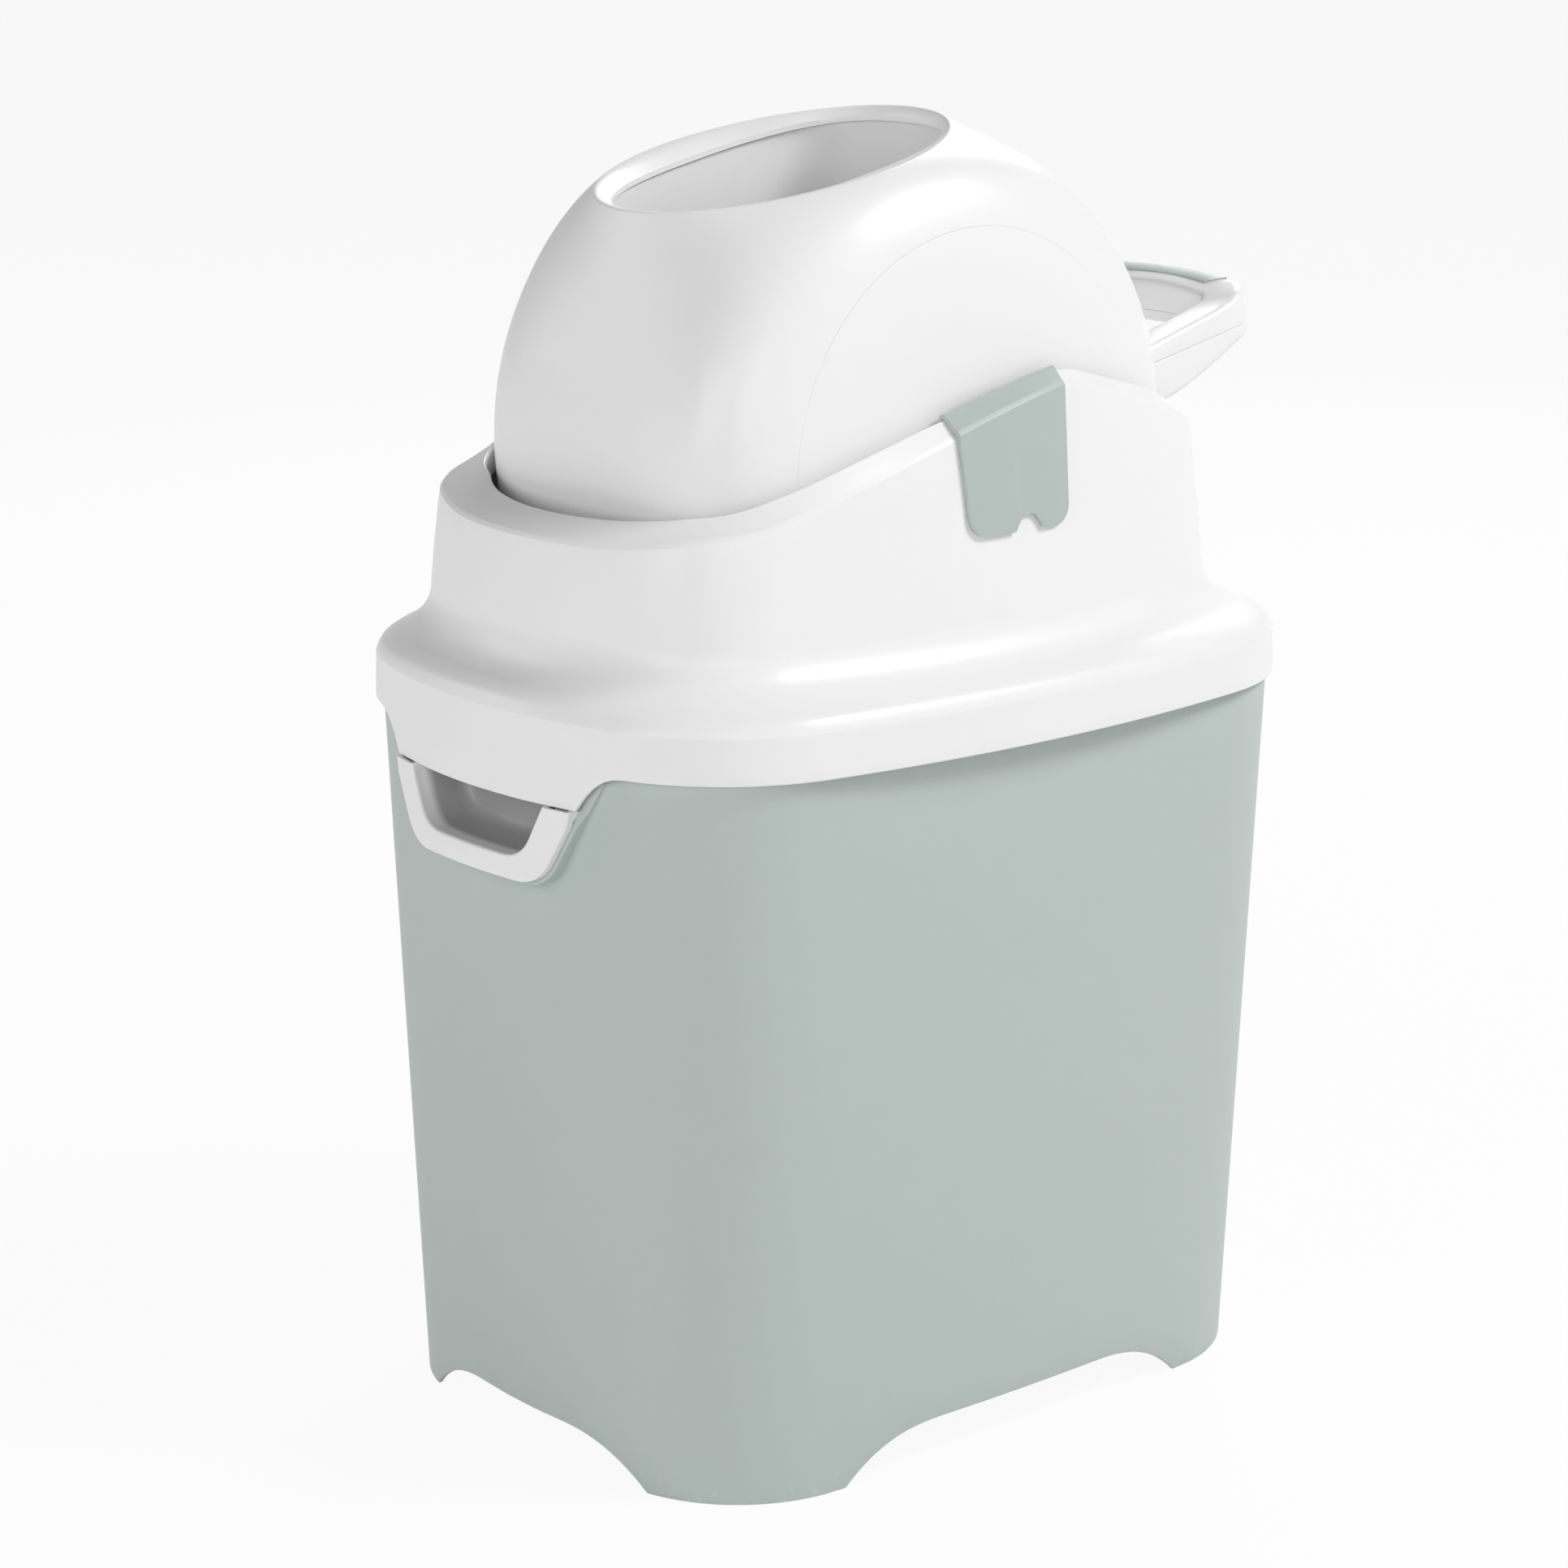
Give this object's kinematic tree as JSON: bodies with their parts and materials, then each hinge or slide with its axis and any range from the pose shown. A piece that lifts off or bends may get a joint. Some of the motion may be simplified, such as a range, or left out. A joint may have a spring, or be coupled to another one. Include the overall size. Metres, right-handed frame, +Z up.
{
  "type": "nappy bin",
  "caption": "Nappy bin with an arched-foot bucket, a hinged lid with a wavy rim, side clips and a turning drum with an oval bore, a loop handle and a free piston.",
  "frame": {"origin": "on the floor under the middle of the bucket", "axes": "+Z up, -Y towards the front with the finger grip, +X and -X towards the two side clips"},
  "size_m": [0.3162, 0.4371, 0.6058],
  "materials": {
    "sage_shell": "satin moulded",
    "sage_trim": "satin moulded",
    "white_gloss": "semi-gloss moulded",
    "bore_grey": "satin moulded",
    "seal_rubber": "matt",
    "pin_steel": "drawn"
  },
  "bodies": {
    "base": {"bucket": "sage_shell", "grip_cup": "white_gloss", "bag_ring": "white_gloss", "hinge_bracket": "sage_shell", "hinge_pin": "pin_steel"},
    "lid": {"lid_shell": "white_gloss", "lid_hinge": "white_gloss"},
    "right_clip": {"clip_right": "sage_trim"},
    "left_clip": {"clip_left": "sage_trim"},
    "drum": {"drum_shell": "white_gloss", "drum_cap_right": "white_gloss", "drum_cap_left": "white_gloss", "bore_liner": "bore_grey", "handle_upper": "white_gloss", "handle_lower": "white_gloss", "handle_inlay": "sage_trim", "handle_screws": "pin_steel"},
    "plunger": {"piston": "bore_grey", "piston_seal": "seal_rubber"}
  },
  "joints": [
    {"name": "lid_swing", "type": "hinge", "parent": "base", "child": "lid", "pos_m": [0, 0.2172, 0.329], "axis": [-1, 0, 0], "range_deg": [0, 90]},
    {"name": "drum_turn", "type": "hinge", "parent": "lid", "child": "drum", "pos_m": [0, -0.001, 0.459], "axis": [1, 0, 0], "range_deg": [0, 156]},
    {"name": "piston_slide", "type": "slide", "parent": "drum", "child": "plunger", "axis": [0, -0.2079, 0.9781], "range_m": [0, 0.208]},
    {"name": "right_clip_lift", "type": "slide", "parent": "lid", "child": "right_clip", "axis": [0, 0, 1], "range_m": [0, 0.05]},
    {"name": "left_clip_lift", "type": "slide", "parent": "lid", "child": "left_clip", "axis": [0, 0, 1], "range_m": [0, 0.05]}
  ]
}
